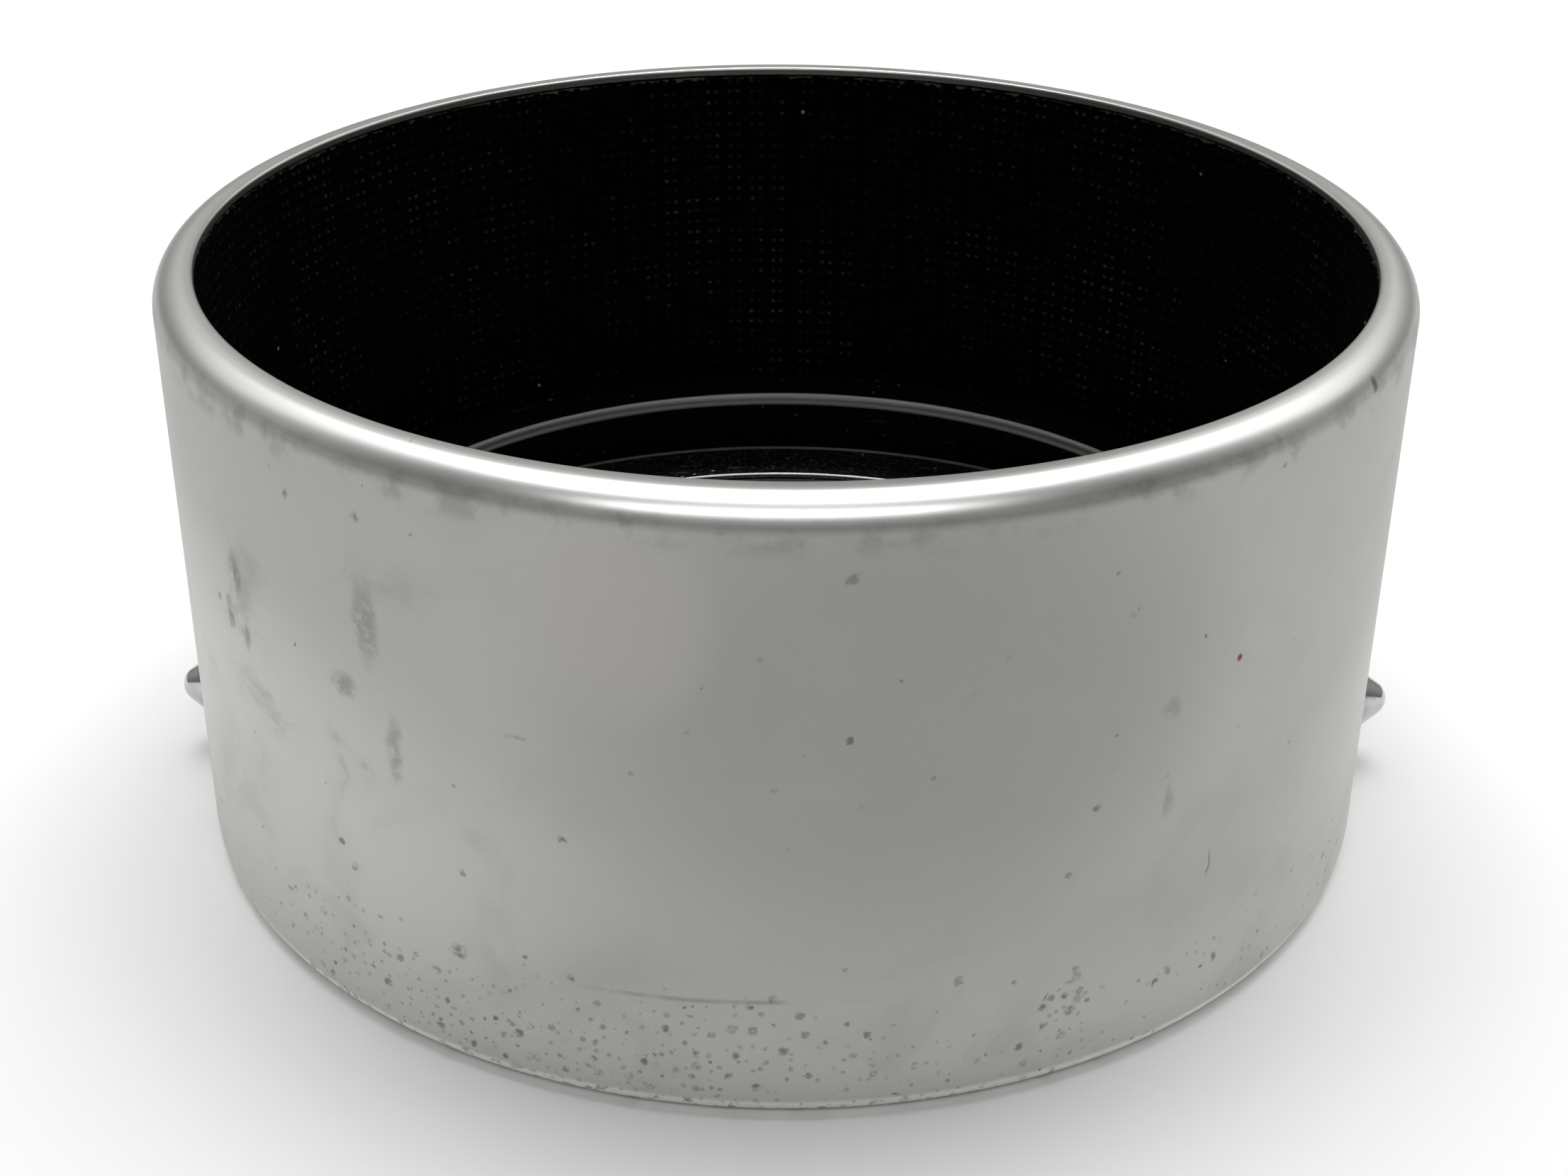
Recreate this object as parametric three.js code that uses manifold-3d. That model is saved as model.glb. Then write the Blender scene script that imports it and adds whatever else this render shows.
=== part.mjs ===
// Push-on lens hood with two sprung release buttons, in millimetres, +Z up.
//
// The hood stands on its lens side: z = 0 is the rear face that meets the lens, and the
// front opening faces up. The barrel's axis is Z and the two release buttons lie on X.
// Pinching a button slides a half-ring arm across the barrel, and the claw at the arm's
// far end leaves the groove of the lens rim.

import * as THREE from 'three';
import { mergeVertices } from 'three/addons/utils/BufferGeometryUtils.js';
import Module from 'manifold-3d';

const wasm = await Module();
wasm.setup();

// ---- Driving dimensions -------------------------------------------------------------

const SHELL_RADIUS = 26.0;
const SHELL_HEIGHT = 25.7;
const WALL = 1.25;
const FOOT_ROUNDING = 1.1;
const LIP_ROUNDING = 1.3;
const LIP_EASE = 0.15;             // rounding of the lip's inner edge
const LIP_DEPTH = 0.35;            // height of the lip's inner face, which overhangs the lining
const FIT = 0.05;                  // clearance between pieces that are pressed together

const LINING_THICKNESS = 0.4;
const LINING_BOTTOM = 8.75;
const LINING_TOP_GAP = 0.1;        // groove between the lining's cut edge and the lip

const RETAINER_BORE = 21.6;
const RETAINER_TOP = 8.7;
const RETAINER_THICKNESS = 0.7;

const LENS_BORE = 21.0;            // radius of the opening that takes the lens rim
const COLLAR_WALL = 1.0;
const FLANGE_THICKNESS = 0.8;
const LEAD_IN = 0.3;
const COVER_TOP = 4.35;
const COVER_THICKNESS = 0.3;

const PRESS_TRAVEL = 0.8;
const BUTTON_HEIGHT = 3.2;         // height of the button's axis over the rear face
const BUTTON_TIP = 27.9;           // distance of the tip from the barrel's axis
const BUTTON_RADIUS = 1.75;
const BUTTON_SHOULDER = 25.6;
const BUTTON_CONE_START = 26.25;
const BUTTON_TIP_RADIUS = 0.9;
const BUTTON_TIP_CAP = 84;         // angle at which the rounded tip closes flat
const BUTTON_STEM_RADIUS = 0.5;
const BUTTON_HOLE_RADIUS = 1.95;
const STEM_HOLE_RADIUS = 0.62;

const ARM_OUTER = 24.15;
const ARM_INNER = 22.65;
const ARM_OFFSET = 0.5;            // shift of the arm's arc towards its own button
const ARM_BOTTOM = 1.1;
const ARM_THICKNESS = 1.2;
const ARM_END_ANGLE = 160;
const PAD_HALF_ANGLE = 5;
const PAD_ROOT = 0.2;                // depth at which the pad grows out of the arm's strip

const GUIDE_PIN_ANGLES = [70, 110];
const GUIDE_PIN_CIRCLE = 23.4;
const GUIDE_PIN_RADIUS = 0.3;
const GUIDE_COLLAR_RADIUS = 0.65;
const GUIDE_COLLAR_HEIGHT = 0.35;
const GUIDE_SLOT_WIDTH = 0.8;

const CLAW_ANGLE = 155;
const CLAW_TIP = 20.6;
const CLAW_BACK = 23.55;
const CLAW_WIDTH = 2.6;
const CLAW_THICKNESS = 1.0;
const CLAW_NOSE = 0.45;            // corner cut at the claw's gripping end
const CLAW_RIVET_CIRCLE = 22.95;
const RIVET_RADIUS = 0.4;
const RIVET_HEAD_RADIUS = 0.55;
const RIVET_HEAD_HEIGHT = 0.3;
const CLAW_SLOT_WIDTH = 3.8;
const CLAW_SLOT_MARGIN = 0.25;

const SCREW_ANGLE = 167.5;
const SCREW_CIRCLE = 23.4;
const SCREW_HEAD_RADIUS = 0.95;
const SCREW_SHANK_RADIUS = 0.5;
const SCREW_SINK = 0.06;           // the head's face lies this far inside the rear face
const SCREW_RIM = 0.1;             // height of the head's straight rim below its cone
const SCREW_TIP_GAP = 0.6;
const DRIVER_SLOT = [0.22, 0.3];   // width and depth
const DRIVER_SLOT_ANGLE = 35;
const PILLAR_RADIUS = 1.0;

const SPRING_WIRE_RADIUS = 0.17;
const SPRING_EYE_START = -30;      // the eye runs from here through SPRING_EYE_TURN degrees
const SPRING_EYE_TURN = 280;
const SPRING_BOW = [[22.6, 62], [22.4, 50], [22.25, 36], [22.35, 22], [22.7, 9]];

// Values that follow from the driving dimensions.
const SHELL_BORE = SHELL_RADIUS - WALL;
const INSERT_RADIUS = SHELL_BORE - FIT;
const LINING_BORE = INSERT_RADIUS - LINING_THICKNESS;
const LIP_UNDERSIDE = SHELL_HEIGHT - LIP_DEPTH;
const COLLAR_OUTER = LENS_BORE + COLLAR_WALL;
const COVER_BOTTOM = COVER_TOP - COVER_THICKNESS;
const COLLAR_TOP = COVER_BOTTOM - FIT;
const FLANGE_SEAT = FLANGE_THICKNESS + FIT;
const ARM_TOP = ARM_BOTTOM + ARM_THICKNESS;
const PAD_TOP = COVER_BOTTOM - 2 * FIT;
const CLAW_BOTTOM = ARM_TOP + FIT;
const CLAW_TOP = CLAW_BOTTOM + CLAW_THICKNESS;

const SHELL_SEGMENTS = 96;
const RING_SEGMENTS = 72;
const SMALL_SEGMENTS = 16;
const BUTTON_SEGMENTS = 24;

const radians = THREE.MathUtils.degToRad;

// ---- Materials ----------------------------------------------------------------------

const FINISHES = {
  aluminium: { color: 0xb4b3ab, roughness: 0.42, metalness: 0.9 },
  cloth: { color: 0x0b0b0c, roughness: 0.95, metalness: 0.0 },
  blackEnamel: { color: 0x101012, roughness: 0.35, metalness: 0.2 },
  chrome: { color: 0xd8d8d6, roughness: 0.12, metalness: 1.0 },
  steel: { color: 0x8d8c88, roughness: 0.35, metalness: 1.0 },
  brass: { color: 0xa98a4c, roughness: 0.35, metalness: 1.0 },
  springSteel: { color: 0x6f7072, roughness: 0.3, metalness: 1.0 },
};

// ---- Geometry helpers ---------------------------------------------------------------

function solidFrom(geometry) {
  const bare = geometry.clone();
  bare.deleteAttribute('normal');
  bare.deleteAttribute('uv');
  const merged = mergeVertices(bare);
  return new wasm.Manifold(new wasm.Mesh({
    numProp: 3,
    vertProperties: new Float32Array(merged.attributes.position.array),
    triVerts: new Uint32Array(merged.index.array),
  }));
}

function geometryFrom(solid) {
  const mesh = solid.getMesh();
  const geometry = new THREE.BufferGeometry();
  geometry.setAttribute('position', new THREE.BufferAttribute(mesh.vertProperties, 3));
  geometry.setIndex(new THREE.BufferAttribute(mesh.triVerts, 1));
  geometry.computeVertexNormals();
  return geometry;
}

function cut(geometry, ...tools) {
  let solid = solidFrom(geometry);
  for (const tool of tools) {
    solid = solid.subtract(solidFrom(tool));
  }
  return geometryFrom(solid);
}

function join(geometry, ...others) {
  let solid = solidFrom(geometry);
  for (const other of others) {
    solid = solid.add(solidFrom(other));
  }
  return geometryFrom(solid);
}

// Points [radius, height] of an arc about a centre, from its first point to its last.
function arc(centreRadius, centreHeight, radius, fromDegrees, toDegrees, steps) {
  const points = [];
  for (let step = 0; step <= steps; step += 1) {
    const angle = radians(fromDegrees + ((toDegrees - fromDegrees) * step) / steps);
    points.push([
      centreRadius + radius * Math.cos(angle),
      centreHeight + radius * Math.sin(angle),
    ]);
  }
  return points;
}

// A turned piece about Z from an anticlockwise profile of [radius, height] points.
function turned(profile, segments) {
  const points = profile.map(([radius, height]) => new THREE.Vector2(radius, height));
  if (profile[0][0] > 0) {
    points.push(points[0].clone());
  }
  return new THREE.LatheGeometry(points, segments).rotateX(Math.PI / 2);
}

function ring(inner, outer, bottom, top, segments = RING_SEGMENTS) {
  return turned([[inner, bottom], [outer, bottom], [outer, top], [inner, top]], segments);
}

function rod(radius, bottom, top, segments = SMALL_SEGMENTS) {
  return turned([[0, bottom], [radius, bottom], [radius, top], [0, top]], segments);
}

function polar(radius, degrees) {
  return [radius * Math.cos(radians(degrees)), radius * Math.sin(radians(degrees))];
}

// A flat part of a ring between two angles, about a centre on the X axis.
function ringSector(inner, outer, centreX, fromDegrees, toDegrees, bottom, top, steps) {
  const shape = new THREE.Shape();
  shape.absarc(centreX, 0, outer, radians(fromDegrees), radians(toDegrees), false);
  shape.absarc(centreX, 0, inner, radians(toDegrees), radians(fromDegrees), true);
  shape.closePath();
  return new THREE.ExtrudeGeometry(shape, {
    depth: top - bottom,
    bevelEnabled: false,
    curveSegments: steps,
  }).translate(0, 0, bottom);
}

// ---- Pieces of the barrel -----------------------------------------------------------

// The lip turns inwards over the lining, so its inner edge is flush with the cloth.
function hoodShell() {
  const body = turned([
    [SHELL_BORE, 0],
    ...arc(SHELL_RADIUS - FOOT_ROUNDING, FOOT_ROUNDING, FOOT_ROUNDING, -90, 0, 5),
    ...arc(SHELL_RADIUS - LIP_ROUNDING, SHELL_HEIGHT - LIP_ROUNDING, LIP_ROUNDING, 0, 90, 7),
    ...arc(LINING_BORE + LIP_EASE, SHELL_HEIGHT - LIP_EASE, LIP_EASE, 90, 180, 2),
    [LINING_BORE, LIP_UNDERSIDE],
    [SHELL_BORE, LIP_UNDERSIDE],
  ], SHELL_SEGMENTS);
  const holes = [-1, 1].map((side) => (
    new THREE.CylinderGeometry(BUTTON_HOLE_RADIUS, BUTTON_HOLE_RADIUS, 4 * WALL, BUTTON_SEGMENTS)
      .rotateZ(Math.PI / 2)
      .translate(side * SHELL_RADIUS, 0, BUTTON_HEIGHT)
  ));
  return cut(body, ...holes);
}

function clothLining() {
  return ring(LINING_BORE, INSERT_RADIUS, LINING_BOTTOM, LIP_UNDERSIDE - LINING_TOP_GAP,
    SHELL_SEGMENTS);
}

function liningRetainerRing() {
  const edge = RETAINER_THICKNESS / 2;
  const middle = RETAINER_TOP - edge;
  return turned([
    [INSERT_RADIUS, middle - edge],
    [INSERT_RADIUS, RETAINER_TOP],
    ...arc(RETAINER_BORE + edge, middle, edge, 90, 270, 6),
  ], RING_SEGMENTS);
}

function spacerSleeve() {
  return ring(LINING_BORE, INSERT_RADIUS, COVER_TOP + FIT,
    RETAINER_TOP - RETAINER_THICKNESS - FIT);
}

function coverPlate() {
  return ring(LENS_BORE, INSERT_RADIUS, COVER_BOTTOM, COVER_TOP);
}

function mountCollar() {
  const body = turned([
    [LENS_BORE + LEAD_IN, 0],
    [INSERT_RADIUS, 0],
    [INSERT_RADIUS, FLANGE_THICKNESS],
    [COLLAR_OUTER, FLANGE_THICKNESS],
    [COLLAR_OUTER, COLLAR_TOP],
    [LENS_BORE, COLLAR_TOP],
    [LENS_BORE, LEAD_IN],
  ], RING_SEGMENTS);
  const tools = [];
  const slotHeight = CLAW_THICKNESS + 2 * CLAW_SLOT_MARGIN;
  for (const turn of [0, 180]) {
    tools.push(new THREE.BoxGeometry(4 * COLLAR_WALL, CLAW_SLOT_WIDTH, slotHeight)
      .translate(LENS_BORE, 0, CLAW_BOTTOM - CLAW_SLOT_MARGIN + slotHeight / 2)
      .rotateZ(radians(CLAW_ANGLE + turn)));
    const [x, y] = polar(SCREW_CIRCLE, SCREW_ANGLE + turn);
    tools.push(countersunkForm(FIT, -1, 2 * FLANGE_THICKNESS).translate(x, y, 0));
  }
  return cut(body, ...tools);
}

// A countersunk head with its shank, widened by a clearance and cut off at two heights.
function countersunkForm(clearance, bottom, top) {
  const head = SCREW_HEAD_RADIUS + clearance;
  const shank = SCREW_SHANK_RADIUS + clearance;
  return turned([
    [0, bottom],
    [head, bottom],
    [head, SCREW_SINK + SCREW_RIM],
    [shank, SCREW_SINK + SCREW_RIM + head - shank],
    [shank, top],
    [0, top],
  ], SMALL_SEGMENTS);
}

function rearScrew() {
  const [slotWidth, slotDepth] = DRIVER_SLOT;
  const driverSlot = new THREE.BoxGeometry(3 * SCREW_HEAD_RADIUS, slotWidth, 2 * slotDepth)
    .rotateZ(radians(DRIVER_SLOT_ANGLE))
    .translate(0, 0, SCREW_SINK);
  return cut(countersunkForm(0, SCREW_SINK, COVER_BOTTOM - SCREW_TIP_GAP), driverSlot);
}

function coverPillar() {
  return ring(SCREW_SHANK_RADIUS + FIT, PILLAR_RADIUS, FLANGE_SEAT, COVER_BOTTOM - FIT,
    SMALL_SEGMENTS);
}

// ---- Pieces of the right-hand catch -------------------------------------------------
// The left-hand catch is the same set of pieces turned half a turn about the axis.

// The head is a cone that runs tangent into a small rounded tip.

function button() {
  const tipCentre = BUTTON_TIP - BUTTON_TIP_RADIUS;
  const coneLength = tipCentre - BUTTON_CONE_START;
  const coneSlope = Math.atan2(coneLength, BUTTON_RADIUS);
  const tipLean = Math.asin(BUTTON_TIP_RADIUS / Math.hypot(coneLength, BUTTON_RADIUS));
  const tangent = 90 - THREE.MathUtils.radToDeg(coneSlope + tipLean);
  return turned([
    [0, ARM_INNER + ARM_OFFSET + FIT],
    [BUTTON_STEM_RADIUS, ARM_INNER + ARM_OFFSET + FIT],
    [BUTTON_STEM_RADIUS, BUTTON_SHOULDER],
    [BUTTON_RADIUS, BUTTON_SHOULDER],
    [BUTTON_RADIUS, BUTTON_CONE_START],
    ...arc(0, tipCentre, BUTTON_TIP_RADIUS, tangent, BUTTON_TIP_CAP, 5),
    [0, BUTTON_TIP],
  ], BUTTON_SEGMENTS).rotateY(Math.PI / 2).translate(0, 0, BUTTON_HEIGHT);
}

function slideArm() {
  const strip = ringSector(ARM_INNER, ARM_OUTER, ARM_OFFSET, -PAD_HALF_ANGLE, ARM_END_ANGLE,
    ARM_BOTTOM, ARM_TOP, 26);
  const pad = ringSector(ARM_INNER, ARM_OUTER, ARM_OFFSET, -PAD_HALF_ANGLE, PAD_HALF_ANGLE,
    ARM_TOP - PAD_ROOT, PAD_TOP, 3);
  const tools = GUIDE_PIN_ANGLES.map((angle) => guideSlot(angle));
  tools.push(rivetHole());
  tools.push(rod(STEM_HOLE_RADIUS, COLLAR_OUTER, SHELL_RADIUS)
    .rotateY(Math.PI / 2)
    .translate(0, 0, BUTTON_HEIGHT));
  return cut(join(strip, pad), ...tools);
}

// The slot lets the pin stand still while the arm travels towards -X.
function guideSlot(angle) {
  const [x, y] = polar(GUIDE_PIN_CIRCLE, angle);
  const half = GUIDE_SLOT_WIDTH / 2;
  const shape = new THREE.Shape();
  shape.absarc(x, y, half, radians(90), radians(270), false);
  shape.absarc(x + PRESS_TRAVEL, y, half, radians(-90), radians(90), false);
  shape.closePath();
  return new THREE.ExtrudeGeometry(shape, { depth: COVER_TOP, bevelEnabled: false, curveSegments: 4 });
}

function rivetHole() {
  const [x, y] = polar(CLAW_RIVET_CIRCLE, CLAW_ANGLE);
  return rod(RIVET_RADIUS + FIT, 0, COVER_TOP).translate(x, y, 0);
}

function claw() {
  const half = CLAW_WIDTH / 2;
  const outline = new THREE.Shape([
    new THREE.Vector2(CLAW_TIP, -half + CLAW_NOSE),
    new THREE.Vector2(CLAW_TIP + CLAW_NOSE, -half),
    new THREE.Vector2(CLAW_BACK, -half),
    new THREE.Vector2(CLAW_BACK, half),
    new THREE.Vector2(CLAW_TIP + CLAW_NOSE, half),
    new THREE.Vector2(CLAW_TIP, half - CLAW_NOSE),
  ]);
  const body = new THREE.ExtrudeGeometry(outline, { depth: CLAW_THICKNESS, bevelEnabled: false })
    .translate(0, 0, CLAW_BOTTOM)
    .rotateZ(radians(CLAW_ANGLE));
  return cut(body, rivetHole());
}

function clawRivet() {
  const [x, y] = polar(CLAW_RIVET_CIRCLE, CLAW_ANGLE);
  const headSeat = CLAW_TOP + FIT;
  return turned([
    [0, ARM_BOTTOM],
    [RIVET_RADIUS, ARM_BOTTOM],
    [RIVET_RADIUS, headSeat],
    [RIVET_HEAD_RADIUS, headSeat],
    [RIVET_HEAD_RADIUS, headSeat + RIVET_HEAD_HEIGHT / 2],
    [RIVET_RADIUS, headSeat + RIVET_HEAD_HEIGHT],
    [0, headSeat + RIVET_HEAD_HEIGHT],
  ], SMALL_SEGMENTS).translate(x, y, 0);
}

// A shouldered pin: it guides the arm's slot, holds the arm down and anchors the spring.
function guidePin(angle) {
  const [x, y] = polar(GUIDE_PIN_CIRCLE, angle);
  const shoulder = ARM_TOP + 2 * FIT;
  return turned([
    [0, FLANGE_SEAT],
    [GUIDE_PIN_RADIUS, FLANGE_SEAT],
    [GUIDE_PIN_RADIUS, shoulder],
    [GUIDE_COLLAR_RADIUS, shoulder],
    [GUIDE_COLLAR_RADIUS, shoulder + GUIDE_COLLAR_HEIGHT],
    [GUIDE_PIN_RADIUS, shoulder + GUIDE_COLLAR_HEIGHT],
    [GUIDE_PIN_RADIUS, PAD_TOP],
    [0, PAD_TOP],
  ], SMALL_SEGMENTS).translate(x, y, 0);
}

// A bow of wire: its eye goes round the first guide pin, and its free end pushes the pad.
function returnSpring() {
  const [pinX, pinY] = polar(GUIDE_PIN_CIRCLE, GUIDE_PIN_ANGLES[0]);
  const eyeRadius = GUIDE_PIN_RADIUS + SPRING_WIRE_RADIUS + 2 * FIT;
  const route = [];
  const eyeSteps = 10;
  for (let step = 0; step <= eyeSteps; step += 1) {
    const angle = radians(SPRING_EYE_START + (SPRING_EYE_TURN * step) / eyeSteps);
    route.push(new THREE.Vector3(
      pinX + eyeRadius * Math.cos(angle),
      pinY + eyeRadius * Math.sin(angle),
      BUTTON_HEIGHT,
    ));
  }
  for (const [radius, angle] of SPRING_BOW) {
    const [x, y] = polar(radius, angle);
    route.push(new THREE.Vector3(x, y, BUTTON_HEIGHT));
  }
  const section = new THREE.Shape();
  section.absarc(0, 0, SPRING_WIRE_RADIUS, 0, 2 * Math.PI, false);
  return new THREE.ExtrudeGeometry(section, {
    steps: 44,
    curveSegments: 3,
    bevelEnabled: false,
    extrudePath: new THREE.CatmullRomCurve3(route),
  });
}

// ---- Assembly -----------------------------------------------------------------------

const lensHood = new THREE.Group();

function addPiece(name, geometry, finish, parent = lensHood) {
  const mesh = new THREE.Mesh(geometry, new THREE.MeshStandardMaterial(FINISHES[finish]));
  mesh.name = name;
  parent.add(mesh);
}

addPiece('hood_shell', hoodShell(), 'aluminium');
addPiece('cloth_lining', clothLining(), 'cloth');
addPiece('lining_retainer_ring', liningRetainerRing(), 'blackEnamel');
addPiece('spacer_sleeve', spacerSleeve(), 'blackEnamel');
addPiece('cover_plate', coverPlate(), 'blackEnamel');
addPiece('mount_collar', mountCollar(), 'blackEnamel');

for (const [side, turn] of [['right', 0], ['left', Math.PI]]) {
  const half = new THREE.Group();
  half.rotation.z = turn;
  lensHood.add(half);

  addPiece(`button_${side}`, button(), 'chrome', half);
  addPiece(`slide_arm_${side}`, slideArm(), 'steel', half);
  addPiece(`claw_${side}`, claw(), 'steel', half);
  addPiece(`claw_rivet_${side}`, clawRivet(), 'brass', half);
  addPiece(`return_spring_${side}`, returnSpring(), 'springSteel', half);
  addPiece(`guide_pin_front_${side}`, guidePin(GUIDE_PIN_ANGLES[0]), 'brass', half);
  addPiece(`guide_pin_rear_${side}`, guidePin(GUIDE_PIN_ANGLES[1]), 'brass', half);

  const [screwX, screwY] = polar(SCREW_CIRCLE, SCREW_ANGLE);
  addPiece(`cover_pillar_${side}`, coverPillar().translate(screwX, screwY, 0), 'brass', half);
  addPiece(`rear_screw_${side}`, rearScrew().translate(screwX, screwY, 0), 'steel', half);
}

export default lensHood;
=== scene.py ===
import math
import random

import bmesh
import bpy
from mathutils import Matrix, Vector


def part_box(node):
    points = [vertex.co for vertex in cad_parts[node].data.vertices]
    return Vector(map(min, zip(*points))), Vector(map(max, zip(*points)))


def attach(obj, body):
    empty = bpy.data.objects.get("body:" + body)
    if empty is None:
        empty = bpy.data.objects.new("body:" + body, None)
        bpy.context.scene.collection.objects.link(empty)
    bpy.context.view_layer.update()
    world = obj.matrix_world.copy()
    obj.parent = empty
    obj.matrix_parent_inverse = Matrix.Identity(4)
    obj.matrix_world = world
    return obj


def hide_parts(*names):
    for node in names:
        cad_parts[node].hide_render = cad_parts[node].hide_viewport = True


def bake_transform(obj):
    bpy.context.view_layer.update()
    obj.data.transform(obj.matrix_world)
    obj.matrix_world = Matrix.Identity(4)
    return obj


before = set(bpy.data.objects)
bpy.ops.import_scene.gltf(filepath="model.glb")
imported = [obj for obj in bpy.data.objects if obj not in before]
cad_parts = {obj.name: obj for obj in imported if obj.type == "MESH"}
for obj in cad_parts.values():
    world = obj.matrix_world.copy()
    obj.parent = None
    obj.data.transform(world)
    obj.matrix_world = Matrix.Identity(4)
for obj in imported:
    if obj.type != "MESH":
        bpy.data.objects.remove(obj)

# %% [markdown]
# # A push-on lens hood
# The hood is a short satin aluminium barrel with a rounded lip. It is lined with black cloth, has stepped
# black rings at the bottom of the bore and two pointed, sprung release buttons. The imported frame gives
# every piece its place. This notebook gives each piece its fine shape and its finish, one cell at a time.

MM = 0.001
FULL_TURN = 2 * math.pi
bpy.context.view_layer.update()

# %% [markdown]
# ## Driving sizes
# Radii and heights come from the boxes of the frame's nodes, so a change in the frame is followed here.
# Only the sizes that a box can't tell, such as wall thicknesses and the rounding of an edge, are stated.

# %% Sizes read from the frame
def top_of(node):
    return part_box(node)[1].z


def bottom_of(node):
    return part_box(node)[0].z


def radius_of(node):
    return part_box(node)[1].y


BARREL_RADIUS = radius_of("hood_shell")
BARREL_HEIGHT = top_of("hood_shell")
INSERT_RADIUS = radius_of("cloth_lining")
BARREL_WALL = 1.25 * MM
BARREL_BORE = BARREL_RADIUS - BARREL_WALL
FOOT_ROUNDING = 1.1 * MM
LIP_ROUNDING = 1.3 * MM
LIP_EASE = 0.15 * MM
LIP_UNDERSIDE = BARREL_HEIGHT - 0.35 * MM
LINING_THICKNESS = 0.4 * MM
LINING_BORE = INSERT_RADIUS - LINING_THICKNESS
RETAINER_BORE = 21.6 * MM
LENS_BORE = 21.0 * MM
COLLAR_WALL = 1.0 * MM
FLANGE_THICKNESS = 0.8 * MM
BUTTON_RADIUS = (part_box("button_right")[1].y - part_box("button_right")[0].y) / 2
BUTTON_HEIGHT = (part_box("button_right")[1].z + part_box("button_right")[0].z) / 2
BUTTON_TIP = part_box("button_right")[1].x
print("barrel radius and height, mm:", round(BARREL_RADIUS / MM, 2), round(BARREL_HEIGHT / MM, 2))

# %% [markdown]
# ## Shader maths as Python expressions
# A material is easier to read as a formula than as a list of nodes. The Socket class wraps a node's output,
# and adding, multiplying or comparing two of them adds the Math node. Every other node comes from make(),
# which sets the node's type and settings first and its sockets after that.

# %% A wrapped shader socket
class Socket:
    def __init__(self, paint, output):
        self.paint = paint
        self.output = output

    def maths(self, operation, *values):
        return self.paint.make("ShaderNodeMath", {"operation": operation}, dict(enumerate(values)))

    def __add__(self, other):
        return self.maths("ADD", self, other)

    def __radd__(self, other):
        return self.maths("ADD", other, self)

    def __sub__(self, other):
        return self.maths("SUBTRACT", self, other)

    def __rsub__(self, other):
        return self.maths("SUBTRACT", other, self)

    def __mul__(self, other):
        return self.maths("MULTIPLY", self, other)

    def __truediv__(self, other):
        return self.maths("DIVIDE", self, other)

    def __lt__(self, other):
        return self.maths("LESS_THAN", self, other)

    def power(self, other):
        return self.maths("POWER", self, other)

    def sine(self):
        return self.maths("SINE", self)

    def size(self):
        return self.maths("ABSOLUTE", self)

    def fraction(self):
        return self.maths("FRACT", self)

    def floor(self):
        return self.maths("FLOOR", self)

    def arctangent(self, other):
        return self.maths("ARCTAN2", self, other)

    def greater(self, other):
        return self.maths("MAXIMUM", self, other)


# %% [markdown]
# The Paint class holds one material. set() fills a socket of the surface shader with a number, a colour or a
# Socket, and the other methods each add one node and give back its output.

# %% A material that is built by calls
class Paint:
    def __init__(self, name, **constants):
        self.material = bpy.data.materials.new(name)
        self.material.use_nodes = True
        self.tree = self.material.node_tree
        self.shader = self.tree.nodes["Principled BSDF"]
        for socket, value in constants.items():
            self.set(socket.replace("_", " "), value)

    def set(self, socket, value):
        self.feed(self.shader.inputs[socket], value)

    def feed(self, socket, value):
        if isinstance(value, Socket):
            self.tree.links.new(value.output, socket)
        else:
            socket.default_value = value

    def make(self, kind, settings=None, sockets=None, output=0):
        node = self.tree.nodes.new(kind)
        for name, value in (settings or {}).items():
            setattr(node, name, value)
        for name, value in (sockets or {}).items():
            self.feed(node.inputs[name], value)
        return Socket(self, node.outputs[output])

    def place(self):
        return self.make("ShaderNodeTexCoord", output="Object")

    def axes(self, vector):
        node = self.make("ShaderNodeSeparateXYZ", sockets={"Vector": vector}).output.node
        return [Socket(self, node.outputs[axis]) for axis in range(3)]

    def vector(self, x, y, z):
        return self.make("ShaderNodeCombineXYZ", sockets={"X": x, "Y": y, "Z": z})

    def noise(self, vector, scale, detail=2.0, roughness=0.5, distortion=0.0):
        sockets = {"Vector": vector, "Scale": scale, "Detail": detail, "Roughness": roughness,
                   "Distortion": distortion}
        return self.make("ShaderNodeTexNoise", {"noise_dimensions": "3D"}, sockets)

    def cells(self, vector, scale):
        """The distance to the nearest of many scattered points."""
        sockets = {"Vector": vector, "Scale": scale}
        return self.make("ShaderNodeTexVoronoi", {"feature": "F1"}, sockets, "Distance")

    def step(self, value, low, high):
        """0 below low, 1 above high and a smooth rise between them. Falls if low is above high."""
        sockets = {"Value": value, "From Min": low, "From Max": high}
        settings = {"interpolation_type": "SMOOTHSTEP"}
        return self.make("ShaderNodeMapRange", settings, sockets)

    def blend(self, factor, first, second):
        settings = {"data_type": "RGBA"}
        return self.make("ShaderNodeMix", settings, {0: factor, 6: first, 7: second}, output=2)

    def bump(self, height, distance, strength):
        sockets = {"Height": height, "Distance": distance, "Strength": strength}
        return self.make("ShaderNodeBump", sockets=sockets)


def grey(value):
    return (value, value, value, 1)


# %% [markdown]
# ## The camera, the floor and the light
# ### The camera
# The camera stands a little above the hood and looks down into it. Its distance and height are multiples of
# the barrel's radius, so the view keeps its perspective.

# %% Camera
CAMERA_AWAY = 3.586 * BARREL_RADIUS
CAMERA_RISE = 2.262 * BARREL_RADIUS
CAMERA_LENS = 53.56
LOOKS_DOWN = math.radians(28.31)
STANDS_ASIDE = math.radians(0.6)
ROLLS = math.radians(0.41)


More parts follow.
